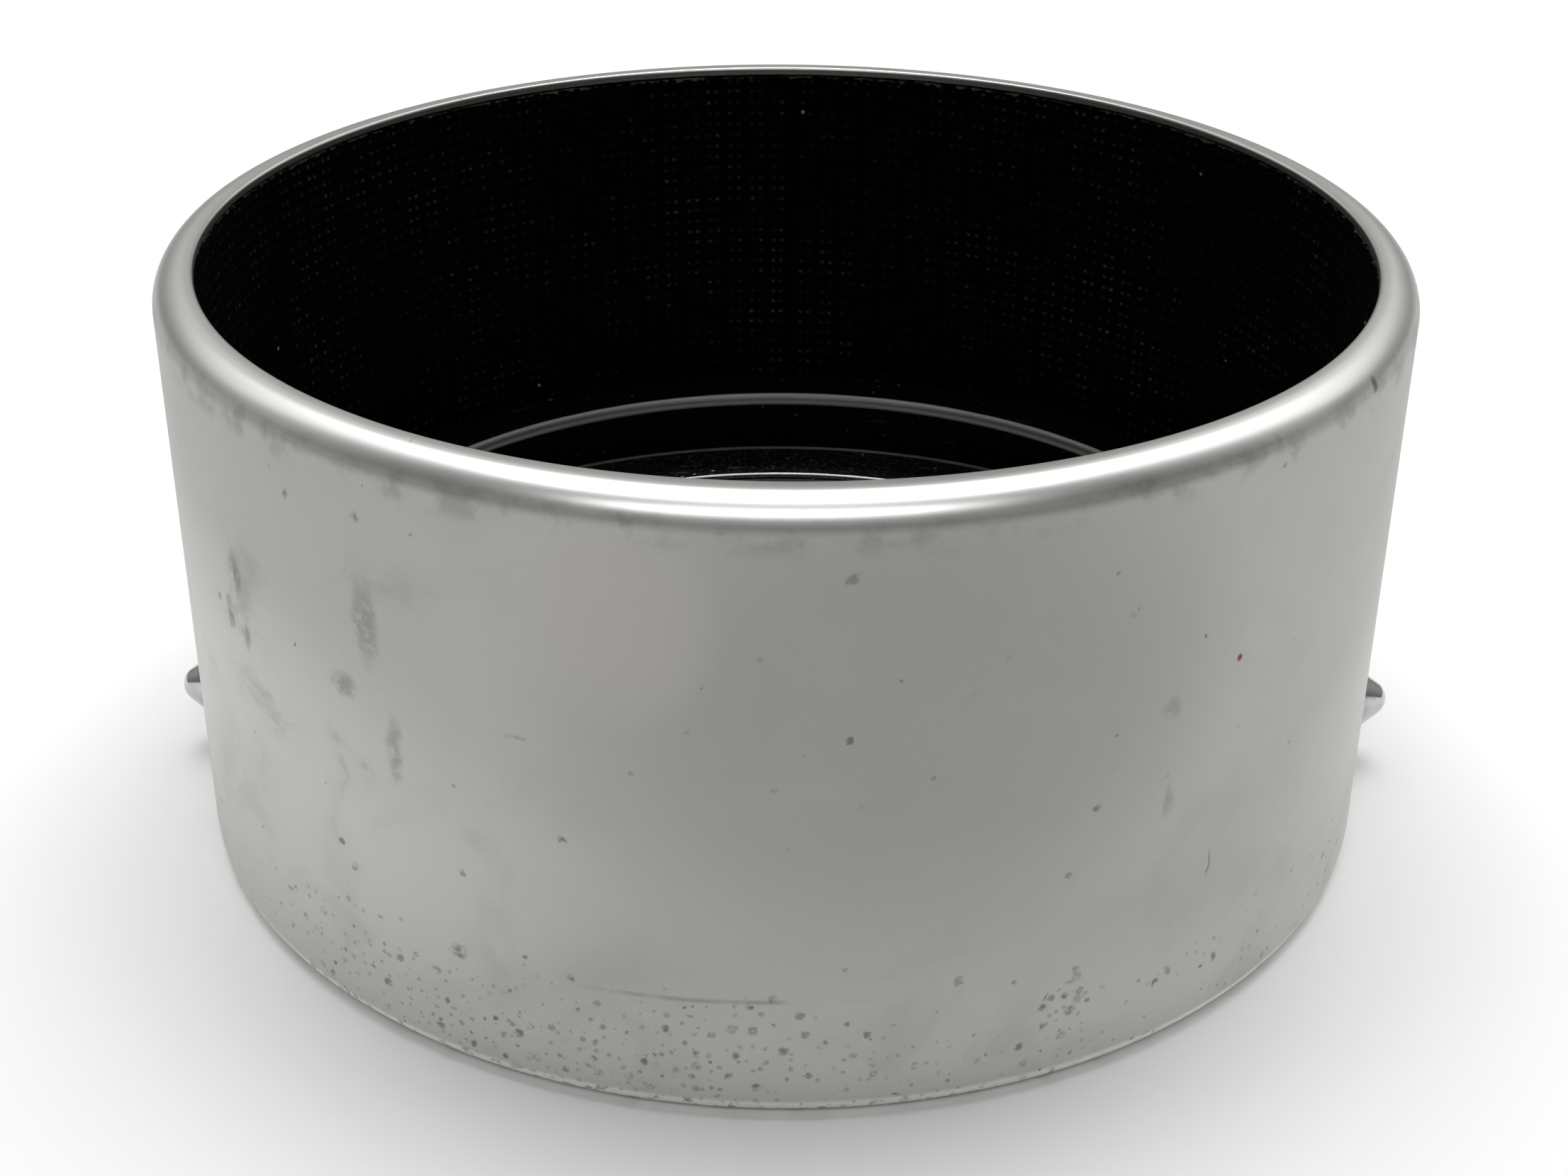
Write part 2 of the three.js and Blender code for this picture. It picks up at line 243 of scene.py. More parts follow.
def set_camera():
    data = bpy.data.cameras.new("camera")
    data.sensor_width = 36.0
    data.lens = CAMERA_LENS
    data.clip_start = 1 * MM
    camera = bpy.data.objects.new("camera", data)
    turn = Matrix.Rotation(STANDS_ASIDE, 4, "Z")
    camera.location = turn @ Vector((0, -CAMERA_AWAY, CAMERA_RISE))
    lean = Matrix.Rotation(math.radians(90) - LOOKS_DOWN, 4, "X")
    roll = Matrix.Rotation(ROLLS, 4, "Z")
    camera.rotation_euler = (turn @ lean @ roll).to_euler()
    bpy.context.scene.collection.objects.link(camera)
    bpy.context.scene.camera = camera
    return camera


camera = set_camera()
print("camera stands", round(camera.location.length / MM), "mm from the hood's foot")

# %% [markdown]
# ### The floor
# A small product is often shown standing on white paper. Here the paper is one large matt square.

# %% Floor
FLOOR_HALF_SIDE = 3.0


def pale_floor():
    mesh = bmesh.new()
    bmesh.ops.create_grid(mesh, x_segments=1, y_segments=1, size=FLOOR_HALF_SIDE)
    data = bpy.data.meshes.new("floor")
    mesh.to_mesh(data)
    mesh.free()
    floor = bpy.data.objects.new("floor", data)
    bpy.context.scene.collection.objects.link(floor)
    paint = Paint("floor_paper", Base_Color=grey(0.88), Roughness=0.9)
    paint.set("Specular IOR Level", 0.2)
    data.materials.append(paint.material)
    return floor


floor = pale_floor()

# %% [markdown]
# ### The light panels
# Satin metal shows what stands around it, so the light comes from separate panels. The front one and the
# overhead one draw the bright line on the lip, and the overhead one also casts the soft shadow in front.
# The back pair whitens the floor and the flanks.

# %% Light panels
PANEL_DISTANCE = 0.45


def light_panel(name, azimuth, elevation, width, height, power):
    """A soft panel that faces the hood. Azimuth 0 is the camera's side, and grows towards +X."""
    data = bpy.data.lights.new(name, "AREA")
    data.shape = "RECTANGLE"
    data.size = width
    data.size_y = height
    data.energy = power
    lamp = bpy.data.objects.new(name, data)
    turn = Matrix.Rotation(math.radians(azimuth), 3, "Z")
    lean = Matrix.Rotation(math.radians(-elevation), 3, "X")
    away = turn @ lean @ Vector((0, -PANEL_DISTANCE, 0))
    lamp.location = Vector((0, 0, BARREL_HEIGHT / 2)) + away
    lamp.rotation_euler = (-away).to_track_quat("-Z", "Y").to_euler()
    bpy.context.scene.collection.objects.link(lamp)
    return lamp


light_panel("overhead_panel", 180, 80, 0.40, 0.26, 1.62)
light_panel("front_panel", 0, 46, 0.40, 0.12, 0.52)
light_panel("back_left_panel", -135, 40, 0.40, 0.30, 0.28)
light_panel("back_right_panel", 135, 40, 0.40, 0.30, 0.42)

# %% [markdown]
# ### The light of the room
# A plain grey room would flatten the metal. This one is bright behind the hood and dim on the camera's side
# and towards the horizon, so the wall stays grey and the far rim stands out.

# %% The room's light
ROOM_GRADES = (("Y", -0.35, 0.35, 0.07, 0.52), ("Z", 0.0, 0.35, 0.60, 1.0))


def room_light():
    """Each grade names an axis of the direction, where it starts and ends, and its factor at both."""
    world = bpy.data.worlds.new("room")
    bpy.context.scene.world = world
    world.use_nodes = True
    tree = world.node_tree
    direction = tree.nodes.new("ShaderNodeTexCoord")
    split = tree.nodes.new("ShaderNodeSeparateXYZ")
    tree.links.new(direction.outputs["Generated"], split.inputs["Vector"])
    ranges = []
    for axis, low, high, least, most in ROOM_GRADES:
        spread = tree.nodes.new("ShaderNodeMapRange")
        spread.interpolation_type = "SMOOTHSTEP"
        for socket, value in (("From Min", low), ("From Max", high), ("To Min", least), ("To Max", most)):
            spread.inputs[socket].default_value = value
        tree.links.new(split.outputs[axis], spread.inputs["Value"])
        ranges.append(spread)
    product = tree.nodes.new("ShaderNodeMath")
    product.operation = "MULTIPLY"
    for place, spread in enumerate(ranges):
        tree.links.new(spread.outputs["Result"], product.inputs[place])
    tree.links.new(product.outputs["Value"], tree.nodes["Background"].inputs["Strength"])
    tree.nodes["Background"].inputs["Color"].default_value = (1, 1, 1, 1)


room_light()
bpy.context.scene.view_settings.view_transform = "Standard"

# %% [markdown]
# ## Finishes
# Every finish is a formula on Object coordinates, in metres. The barrel's wear depends on where a point is
# on the barrel, so the first step is to turn x and y into an angle round the axis.

# %% Places and spots on a turned piece
def round_the_axis(paint):
    """The angle round the axis from the front, the distance from the axis, and the height."""
    x, y, z = paint.axes(paint.place())
    angle = x.arctangent(0 - y)
    radius = (x * x + y * y).power(0.5)
    return angle, radius, z


def spots(paint, across, up, cell, size, share, wobble):
    """Scattered round spots: 1 inside a spot. share is the part of the cells that have one."""
    sway = paint.noise(paint.vector(across, up, 0), 0.9 / size, detail=2)
    flat = paint.vector(across + (sway - 0.5) * wobble, up + (sway - 0.5) * wobble, 0)
    settings = {"voronoi_dimensions": "2D", "feature": "F1"}
    sockets = {"Vector": flat, "Scale": 1 / cell}
    distance = paint.make("ShaderNodeTexVoronoi", settings, sockets, "Distance")
    chance, scale, tone = paint.axes(paint.make("ShaderNodeTexVoronoi", settings, sockets, "Color"))
    reach = (scale * 0.8 + 0.35) * (size / cell)
    return paint.step(distance, reach, reach * 0.45) * (chance < share) * (tone * 0.6 + 0.4)


def patch(paint, angle, z, middle, height, width, tall):
    """A soft patch on the wall: middle and width in degrees round the barrel, height and tall in metres."""
    side = (angle - math.radians(middle)) / math.radians(width)
    rise = (z - height) / tall
    return paint.step(side * side + rise * rise, 1.0, 0.0)


# %% [markdown]
# ### Satin aluminium
# The barrel is etched and anodised, so it scatters light softly and shows no brushing. Age has left cloudy
# stains, grey corrosion pits in a band above the rear edge with one dense cluster, smears on one side and a
# faint scuff line where the band ends. Over these lies painted light: a painted highlight on the front of
# the lip, a painted reflection of the floor on the worn foot, painted shade where the lip's rounding meets
# the wall, painted light on the flanks and the lower wall, and a patch of painted shade in the middle. Each
# is a mask, and the marks' masks then steer colour, roughness, metalness and height together, so a pit looks
# like the same pit in every channel. The largest marks are placed one by one, because a pattern wouldn't put
# them there.

# %% Marks that are placed one by one
# A mark is its place round the barrel in degrees, its height, its half width in degrees, its half height
# and its depth of tone. Heights are in mm.
MARKS = [
    (-42, 22.5, 0.45, 0.25, 0.8), (-34, 22.8, 0.40, 0.20, 0.7), (-38, 7.4, 0.50, 0.24, 0.8),
    (-26, 9.2, 0.45, 0.22, 0.7), (-27, 5.5, 0.90, 0.42, 0.8), (24, 9.7, 0.40, 0.20, 0.7),
    (20, 5.4, 0.40, 0.20, 0.8), (35.5, 3.6, 0.60, 0.30, 0.8), (41, 3.1, 0.50, 0.26, 0.8),
    (-34, 18.6, 1.5, 2.2, 0.42), (-37, 15.6, 1.9, 0.7, 0.5), (-32, 13.6, 1.1, 1.9, 0.4),
    (-52, 17.5, 1.3, 1.2, 0.6), (-54, 15.6, 1.0, 1.0, 0.6), (-51, 15.0, 0.8, 0.8, 0.5),
    (33, 15.7, 1.3, 0.6, 0.3), (33.5, 11.7, 0.9, 0.9, 0.3), (39, 7.9, 0.30, 0.8, 0.6),
    (-20, 15.7, 1.6, 0.12, 0.35),
]


def placed_marks(paint, angle, z):
    darkest = 0.0
    for middle, height, width, tall, depth in MARKS:
        mark = patch(paint, angle, z, middle, height * MM, width, tall * MM) * depth
        darkest = mark.greater(darkest)
    return darkest


# %% [markdown]
# #### Pits, a scuff line and painted shade
# Salt and sweat eat small pits into anodised aluminium, mostly where the hood is set down or held. The pits
# are sparse over the wall and crowded near the rear edge. A scuff is a thin line that runs round the barrel,
# and painted shade darkens a broken band where the lip's rounding meets the wall.

# %% Pits, a scuff line and painted shade
def pit_marks(paint, angle, z, cloud, stain):
    """Corrosion pits of two sizes, and one cluster of larger ones."""
    across = angle * BARREL_RADIUS
    band_edge = 5.4 * MM + (cloud - 0.5) * 3 * MM
    band = paint.step(z, band_edge, 2.6 * MM) * paint.step(stain, 0.32, 0.52)
    front = patch(paint, angle, z, -20, 2.0 * MM, 42, 4.8 * MM)
    cluster = patch(paint, angle, z, 25, 3.9 * MM, 3.4, 1.6 * MM)
    share = band * 0.30 + front * 0.55 + 0.010
    pits = spots(paint, across, z, 0.85 * MM, 0.24 * MM, share, 0.30 * MM)
    fine_pits = spots(paint, across + 0.4, z, 0.50 * MM, 0.13 * MM, share, 0.16 * MM)
    crowd = spots(paint, across + 0.2, z, 0.50 * MM, 0.30 * MM, cluster, 0.24 * MM)
    return (pits * 0.75).greater(fine_pits * 0.55).greater(crowd * 0.8)


def scuff_line(paint, angle, z):
    """A broken thin line round part of the barrel, above the band of pits."""
    place = paint.place()
    scuff_height = 5.5 * MM + (paint.noise(place, 60) - 0.5) * 0.5 * MM
    scuff = paint.step((z - scuff_height).size(), 0.16 * MM, 0.02 * MM)
    scuff = scuff * patch(paint, angle, z, -3, 5.5 * MM, 16, 2 * MM)
    return scuff * paint.step(paint.noise(place, 420, detail=3), 0.40, 0.62) * 0.5


# Painted shade: a broken darker band where the lip's rounding meets the wall.
def painted_lip_shade(paint, z, cloud):
    lip_edge = BARREL_HEIGHT - 1.25 * MM
    near_edge = paint.step((z - lip_edge + (cloud - 0.5) * MM).size(), 0.9 * MM, 0.1 * MM)
    return near_edge * paint.step(paint.noise(paint.place(), 650, detail=4, roughness=0.6), 0.46, 0.66)


# %% [markdown]
# #### The tones of the wall
# The tones are named by what they stand for, from the clean metal to the pits, and they are laid over each
# other in that order. Large soft patches come first: the uneven anodising, painted light on the flanks and
# the lower wall, and a patch of painted shade in the middle.

# %% The tones of the wall
TONES = {
    "clean_dark": (0.390, 0.394, 0.371, 1),
    "clean_light": (0.450, 0.450, 0.427, 1),
    # painted light: lighter flanks and a lighter lower wall
    "painted_light": (0.575, 0.578, 0.55, 1),
    # painted shade: a darker patch in the middle of the wall
    "painted_shade": (0.288, 0.294, 0.279, 1),
    "hazy": (0.43, 0.40, 0.40, 1),
    "stained": (0.35, 0.357, 0.338, 1),
    # painted highlight on the front of the lip
    "lip_highlight": (0.92, 0.92, 0.90, 1),
    # worn foot, made brighter still as a painted reflection of the floor
    "rubbed_foot_and_reflection": (0.92, 0.92, 0.89, 1),
    # scuff line and smears, and the painted shade where the lip meets the wall
    "scuffed_and_shaded": (0.21, 0.215, 0.20, 1),
    "pitted": (0.125, 0.13, 0.118, 1),
    "red_speck": (0.16, 0.05, 0.035, 1),
    "nicked": (0.07, 0.07, 0.08, 1),
}


def wall_tone(paint, angle, z, cloud, stain):
    clean = paint.blend(cloud, TONES["clean_dark"], TONES["clean_light"])
    # Painted light: two patches on the flanks and a band along the lower wall are made lighter.
    painted_light = patch(paint, angle, z, -58, 6 * MM, 52, 14 * MM)
    painted_light = painted_light.greater(patch(paint, angle, z, 80, 3 * MM, 45, 13 * MM) * 0.8)
    painted_light = painted_light.greater(paint.step(z, 8 * MM, 1 * MM))
    clean = paint.blend(painted_light, clean, TONES["painted_light"])
    # Painted shade: a darker patch in the middle of the wall.
    painted_shade = patch(paint, angle, z, 10, 18 * MM, 34, 12 * MM) * 0.85
    clean = paint.blend(painted_shade, clean, TONES["painted_shade"])
    haze = patch(paint, angle, z, -12, 21 * MM, 9, 5 * MM)
    hazy = paint.blend(haze * 0.5, clean, TONES["hazy"])
    return paint.blend(paint.step(stain, 0.45, 0.75) * 0.35, hazy, TONES["stained"])


# %% [markdown]
# #### The whole finish
# The metal's own grain is far finer than a pit, so it only breaks up the gloss. The lip is a little smoother
# than the wall, because hands polish it, and that is why its line of light is sharper. The front of the lip
# also carries a painted highlight in its colour.

# %% Satin aluminium
def satin_aluminium():
    paint = Paint("satin_aluminium")
    angle, radius, z = round_the_axis(paint)
    place = paint.place()
    lip = paint.step(z, BARREL_HEIGHT - 1.0 * MM, BARREL_HEIGHT - 0.6 * MM)
    cloud = paint.noise(place, 70, detail=4, roughness=0.55)
    stain = paint.noise(place, 210, detail=5, roughness=0.6, distortion=0.6)
    grain = paint.noise(place, 9000, detail=2)
    crumble = paint.noise(place, 3200, detail=3, roughness=0.65)
    drift = paint.noise(place, 1100, detail=2)

    foot = paint.step(z, 1.0 * MM, 0.7 * MM)
    along_foot = paint.vector(angle * BARREL_RADIUS, 0, z)
    foot_nicks = foot * paint.step(paint.noise(along_foot, 1700, detail=3), 0.55, 0.68)
    wandering = angle + (drift - 0.5) * 0.035
    single = placed_marks(paint, wandering, z + (crumble - 0.5) * 0.5 * MM)
    marks = pit_marks(paint, angle, z, cloud, stain).greater(foot_nicks * 0.7)
    marks = marks.greater(single * 0.8) * paint.step(crumble, 0.28, 0.58)
    speck = patch(paint, angle, z, 40, 16.7 * MM, 0.42, 0.2 * MM)
    nick = patch(paint, wandering, z, 57, 24.9 * MM, 0.9, 0.35 * MM)

    # Painted highlight: the front of the lip is made nearly white.
    lip_highlight = lip * paint.step(angle.size(), 1.25, 0.35)
    lip_highlight = lip_highlight * paint.step(radius, BARREL_RADIUS - 1.10 * MM, BARREL_RADIUS - 0.8 * MM)
    with_lip_highlight = paint.blend(lip_highlight, wall_tone(paint, angle, z, cloud, stain), TONES["lip_highlight"])
    # The foot is made bright: partly wear, partly a painted reflection of the floor.
    rubbed_foot_and_reflection = paint.blend(foot * 0.9, with_lip_highlight, TONES["rubbed_foot_and_reflection"])
    smears = paint.step(stain, 0.56, 0.70) * patch(paint, angle, z, -42, 15 * MM, 22, 9 * MM) * 0.45
    # The painted shade where the lip meets the wall joins the scuff line and the smears here.
    scuffs_and_lip_shade = scuff_line(paint, angle, z).greater(smears).greater(painted_lip_shade(paint, z, cloud) * 0.5)
    scuffed_and_shaded = paint.blend(scuffs_and_lip_shade, rubbed_foot_and_reflection, TONES["scuffed_and_shaded"])
    pitted = paint.blend(marks, scuffed_and_shaded, TONES["pitted"])
    dotted = paint.blend(speck, pitted, TONES["red_speck"])
    paint.set("Base Color", paint.blend(nick * 0.8, dotted, TONES["nicked"]))
    paint.set("Metallic", 0.97 - marks * 0.2)
    worn_smooth = 0.48 - lip * 0.14
    paint.set("Roughness", worn_smooth + (cloud - 0.5) * 0.10 + (grain - 0.5) * 0.05 + marks * 0.15)
    height = (grain - 0.5) * 0.04 - marks * 0.4 - nick
    paint.set("Normal", paint.bump(height, 0.02 * MM, 0.7))
    return paint.material


# %% [markdown]
# ### Black cloth
# The lining is a thin, very black cloth. Its weft rows lie about half a millimetre apart, and the warp runs
# in pairs, so the crowns catch light as small double dots in straight columns. The same wave that bends the
# rows is used twice: here for the dots and later for the ridges in the mesh. It works on numbers and
# sockets.

# %% Black cloth
ROW_PITCH = 0.573 * MM
PAIR_PITCH = 1.12 * MM


def row_sway(angle, sine):
    return sine(angle * 3 + 1) * 0.10 * MM + sine(angle * 11) * 0.03 * MM


def black_cloth():
    paint = Paint("black_cloth")
    angle, radius, z = round_the_axis(paint)
    place = paint.place()
    row_place = (z + row_sway(angle, Socket.sine)) / ROW_PITCH
    column_place = angle * (LINING_BORE / PAIR_PITCH) + (paint.noise(place, 400) - 0.5) * 0.22
    row = (row_place.fraction() - 0.5).size()
    column = column_place.fraction() - 0.5
    pair = (column.size() - 0.19).size()
    crown = paint.step(pair, 0.13, 0.03) * paint.step(row, 0.20, 0.05)
    which = paint.vector((column_place * 2).floor(), row_place.floor(), 0)
    chance = paint.make("ShaderNodeTexWhiteNoise", {"noise_dimensions": "2D"}, {"Vector": which})
    worn = paint.step(paint.noise(place, 130, detail=3), 0.36, 0.68)
    patchy = paint.step(paint.noise(place, 700, detail=3), 0.30, 0.70)
    shine = crown * (chance * chance * 0.75 + 0.25) * patchy * (worn * 0.85 + 0.15)
    fibre = paint.noise(paint.vector(angle * LINING_BORE, z, 0), 14000, detail=2)
    lint = paint.step(paint.cells(place, 330), 0.040, 0.015)
    frayed_from = top_of("cloth_lining") + (paint.noise(place, 2600, detail=2) - 0.72) * 0.5 * MM
    cut_edge = paint.step(z, frayed_from, frayed_from + 0.10 * MM) * (fibre * 0.5 + 0.25)

    # Painted highlight: the thread crowns are made lighter in colour, so they show as small dots.
    crown_highlight = paint.blend(shine, (0.0006, 0.0006, 0.0010, 1), (0.045, 0.047, 0.052, 1))
    linty = paint.blend(lint * 0.6, crown_highlight, (0.30, 0.30, 0.30, 1))
    paint.set("Base Color", paint.blend(cut_edge, linty, (0.13, 0.135, 0.105, 1)))
    paint.set("Roughness", 0.85 - shine * 0.35)
    paint.set("Specular IOR Level", 0.015)
    paint.set("Normal", paint.bump(crown + fibre * 0.25, 0.03 * MM, 0.9))
    return paint.material


# %% [markdown]
# ### Black enamel
# The inner rings are enamelled black and a little blue. Dust lies on them and fine scratches run round
# them. An edge that the lens rubs is worn down to bright metal, so the finish can take a radius inside
# which it is bare, a height above or below which it is bare, and a radius outside which a thin lighter
# ring lies where the floor meets the sleeve.

# %% Black enamel
def black_enamel(name, gloss=0.30, tone=0.010, dust=0.5, shine=0.5, bare_inside=None, bare_below=None,
                 bare_above=None, bare_tone=0.70, light_ring_outside=None):
    paint = Paint(name)
    angle, radius, z = round_the_axis(paint)
    place = paint.place()
    lines = paint.noise(paint.vector(radius, z, angle * 0.0004), 9000, detail=3)
    haze = paint.noise(place, 300, detail=4)
    motes = paint.step(paint.cells(place, 900), 0.13, 0.05) * paint.step(haze, 0.42, 0.62)
    bright_motes = paint.step(paint.cells(place, 380), 0.07, 0.03)
    speckle = paint.step(paint.noise(place, 7000, detail=3), 0.52, 0.72) * 0.5
    swept = paint.noise(paint.vector(radius, z, angle * 0.002), 5200, detail=2)
    scratches = paint.step(swept, 0.68, 0.76) * paint.step(haze, 0.45, 0.6) * 0.5
    dusty = (motes.greater(bright_motes).greater(scratches) + speckle * 0.30) * dust
    # A thin lighter ring in the dust colour, just inside the sleeve.
    if light_ring_outside is not None:
        corner_ring = paint.step(radius, light_ring_outside, light_ring_outside + 0.04 * MM)
        dusty = dusty.greater(corner_ring * haze * 0.8)
    paint.set("Specular IOR Level", shine)

    black = (tone, tone * 1.08, tone * 1.45, 1)
    coated = paint.blend(dusty, black, (0.42, 0.43, 0.44, 1))
    bare = 0.0
    if bare_inside is not None:
        worn_to = bare_inside + (paint.noise(place, 500, detail=3) - 0.5) * 0.10 * MM
        bare = paint.step(radius, worn_to + 0.03 * MM, worn_to - 0.01 * MM)
    if bare_above is not None:
        bare = bare * paint.step(z, bare_above - 0.02 * MM, bare_above)
    if bare_below is not None:
        rub = paint.step(z, bare_below, bare_below * 0.3)
        bare = rub * paint.step(paint.noise(place, 420, detail=5), 0.62, 0.74) * 0.55
    paint.set("Base Color", paint.blend(bare, coated, (bare_tone, bare_tone * 0.98, bare_tone * 0.94, 1)))
    paint.set("Metallic", bare)
    paint.set("Roughness", lines * 0.10 + (gloss - 0.05) + (haze - 0.5) * 0.12)
    paint.set("Normal", paint.bump(lines + speckle * 0.4, 0.004 * MM, 0.6))
    return paint.material


# %% [markdown]
# ### Chrome, steel and brass
# The buttons are polished and chromed, and only light handling marks break the mirror. The catch behind the
# cover is plain stamped steel and turned brass, with a film of old oil.

# %% Bright metals
def bright_metal(name, colour, gloss, stain_colour, stain, grain_scale=2500):
    paint = Paint(name, Metallic=1.0)
    place = paint.place()
    film = paint.noise(place, 700, detail=4, roughness=0.6)
    scratch = paint.noise(place, grain_scale, detail=3, distortion=1.2)
    tarnish = paint.step(film, 0.48, 0.72) * stain
    paint.set("Base Color", paint.blend(tarnish, colour, stain_colour))
    paint.set("Roughness", film * 0.10 + scratch * 0.06 + (gloss - 0.06) + tarnish * 0.2)
    paint.set("Normal", paint.bump(scratch, 0.003 * MM, 0.5))
    return paint.material


# %% [markdown]
# ### The list of finishes
# The four black pieces share one formula with different gloss and wear, and the bare metals share another.

# %% All finishes by name
FINISHES = {
    "satin_aluminium": satin_aluminium(),
    "black_cloth": black_cloth(),
    "ring_enamel": black_enamel("ring_enamel", gloss=0.55, tone=0.0005, dust=0.08, shine=0.015,
                                bare_inside=RETAINER_BORE + 0.26 * MM, bare_tone=0.12),
    "recess_enamel": black_enamel("recess_enamel", gloss=0.6, tone=0.0008, dust=0.12, shine=0.03),
    "floor_enamel": black_enamel("floor_enamel", gloss=0.42, tone=0.004, dust=0.9, shine=0.22,
                                 bare_inside=LENS_BORE + 0.06 * MM,
                                 bare_above=top_of("cover_plate") - 0.07 * MM,
                                 light_ring_outside=LINING_BORE - 0.20 * MM),
    "collar_enamel": black_enamel("collar_enamel", gloss=0.38, bare_below=0.25 * MM),
    "chrome": bright_metal("chrome", grey(0.50), 0.07, grey(0.22), 0.45),
    "spring_steel": bright_metal("spring_steel", (0.30, 0.30, 0.32, 1), 0.32, (0.16, 0.11, 0.08, 1), 0.6),
    "hard_steel": bright_metal("hard_steel", (0.52, 0.51, 0.49, 1), 0.28, (0.22, 0.18, 0.14, 1), 0.5),
    "brass": bright_metal("brass", (0.62, 0.46, 0.20, 1), 0.26, (0.25, 0.16, 0.07, 1), 0.6),
}
print("finishes:", ", ".join(FINISHES))

# %% [markdown]
# ## Shapes
# Nearly every piece of a hood is turned on a lathe. So a few profile points in the XZ plane are spun round
# an axis, which gives a clean ring of quads with exact roundings. The pieces that were stamped or filed
# start as copies of their frame nodes, whose loose triangles are merged before their edges are softened.

# %% Profiles and spinning
def arc(centre_radius, centre_height, radius, start, end, steps):
    """Profile points on an arc, with its angles in degrees from outward horizontal."""
    angles = [math.radians(start + (end - start) * step / steps) for step in range(steps + 1)]
    return [(centre_radius + radius * math.cos(a), centre_height + radius * math.sin(a)) for a in angles]


def spun(profile, closed=True, steps=256):
    """A bmesh made by spinning (radius, height) points round Z."""
    mesh = bmesh.new()
    points = [mesh.verts.new((radius, 0, height)) for radius, height in profile]
    followers = points[1:] + points[:1] if closed else points[1:]
    edges = [mesh.edges.new(pair) for pair in zip(points, followers)]
    bmesh.ops.spin(mesh, geom=points + edges, cent=(0, 0, 0), axis=(0, 0, 1), angle=FULL_TURN,
                   steps=steps, use_merge=True, use_duplicate=False)
    bmesh.ops.remove_doubles(mesh, verts=mesh.verts, dist=0.00001 * MM)
    bmesh.ops.recalc_face_normals(mesh, faces=mesh.faces)
    return mesh


# %% [markdown]
# A bmesh becomes a piece in the same way every time: smooth faces with sharp edges kept, one finish, the
# body it rides on, and the frame nodes that it stands for.

# %% Finishing a piece
def piece(name, mesh, finish, body, slot, *nodes, sharp=35):
    """Turns a bmesh into a piece that rides on a body, if one is named, and stands for its CAD nodes."""
    data = bpy.data.meshes.new(name)
    mesh.to_mesh(data)
    mesh.free()
    data.polygons.foreach_set("use_smooth", [True] * len(data.polygons))
    data.set_sharp_from_angle(angle=math.radians(sharp))
    data.materials.append(FINISHES[finish])
    shape = bpy.data.objects.new(name, data)
    bpy.context.scene.collection.objects.link(shape)
    if body is not None:
        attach(shape, body)
    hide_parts(*nodes)
    print(f"{name}: {len(data.polygons)} faces")
    return shape


# %% [markdown]
# Holes and slots are cut with exact Booleans, and the result is kept as the mesh, so no modifier stays live.

# %% Cutting holes and slots
def cut_away(shape, *cutters):
    """Takes the cutters' bmeshes out of a piece and keeps the result as its mesh."""
    for cutter in cutters:
        data = bpy.data.meshes.new("cutter")
        cutter.to_mesh(data)
        cutter.free()
        tool = bpy.data.objects.new("cutter", data)
        bpy.context.scene.collection.objects.link(tool)
        modifier = shape.modifiers.new("cut", "BOOLEAN")
        modifier.object = tool
        modifier.solver = "EXACT"
        bpy.context.view_layer.update()
        evaluated = shape.evaluated_get(bpy.context.evaluated_depsgraph_get())
        result = bpy.data.meshes.new_from_object(evaluated)
        shape.modifiers.remove(modifier)
        shape.data = result
        bpy.data.objects.remove(tool)
    shape.data.set_sharp_from_angle(angle=math.radians(35))
    print(f"{shape.name} after cutting: {len(shape.data.polygons)} faces")


# %% [markdown]
# ### The barrel
# The barrel is one tube. Its lip is rounded and turns inwards, so that it covers the lining's edge, and its
# rear edge is eased. The two button holes are drilled with a small countersink, so each catches a thin ring
# of light.

# %% Barrel
def barrel():
    lip_height = BARREL_HEIGHT - LIP_ROUNDING
    wall_rows = 12
    outer_wall = [(BARREL_RADIUS, FOOT_ROUNDING + (lip_height - FOOT_ROUNDING) * row / wall_rows)
                  for row in range(1, wall_rows)]
    profile = [(BARREL_BORE, 0)]
    profile += arc(BARREL_RADIUS - FOOT_ROUNDING, FOOT_ROUNDING, FOOT_ROUNDING, -90, 0, 10)
    profile += outer_wall
    profile += arc(BARREL_RADIUS - LIP_ROUNDING, lip_height, LIP_ROUNDING, 0, 90, 20)
    profile += arc(LINING_BORE + LIP_EASE, BARREL_HEIGHT - LIP_EASE, LIP_EASE, 90, 180, 6)
    profile += [(LINING_BORE, LIP_UNDERSIDE), (BARREL_BORE, LIP_UNDERSIDE)]
    shape = piece("barrel_shell", spun(profile, steps=288), "satin_aluminium", "barrel",
                  "satin_aluminium", "hood_shell")
    hole_radius = BUTTON_RADIUS + 0.2 * MM
    sink = 0.12 * MM
    for side in (1, -1):
        inner = BARREL_BORE - 1 * MM
        drill = spun([(0, inner), (hole_radius, inner), (hole_radius, BARREL_RADIUS - sink),
                      (hole_radius + 2 * sink, BARREL_RADIUS + sink), (0, BARREL_RADIUS + sink)],
                     closed=True, steps=64)
        turn = Matrix.Rotation(side * math.pi / 2, 4, "Y")
        place = Matrix.Translation((0, 0, BUTTON_HEIGHT))
        bmesh.ops.transform(drill, matrix=place @ turn, verts=drill.verts)
        cut_away(shape, drill)
    return shape


barrel_shell = barrel()

# %% [markdown]
# ### The cloth lining
# The cloth is glued to the bore, so it is a thin tube and needs no simulation. Its weft rows are real
# ridges: each ring of vertices moves in or out by the row wave. Its cut edge below the lip is left a little
# ragged.

# %% Cloth lining
LINING_BOTTOM = bottom_of("cloth_lining")
LINING_TOP = top_of("cloth_lining")
RIDGE = 0.035 * MM
RAGGED = 0.05 * MM


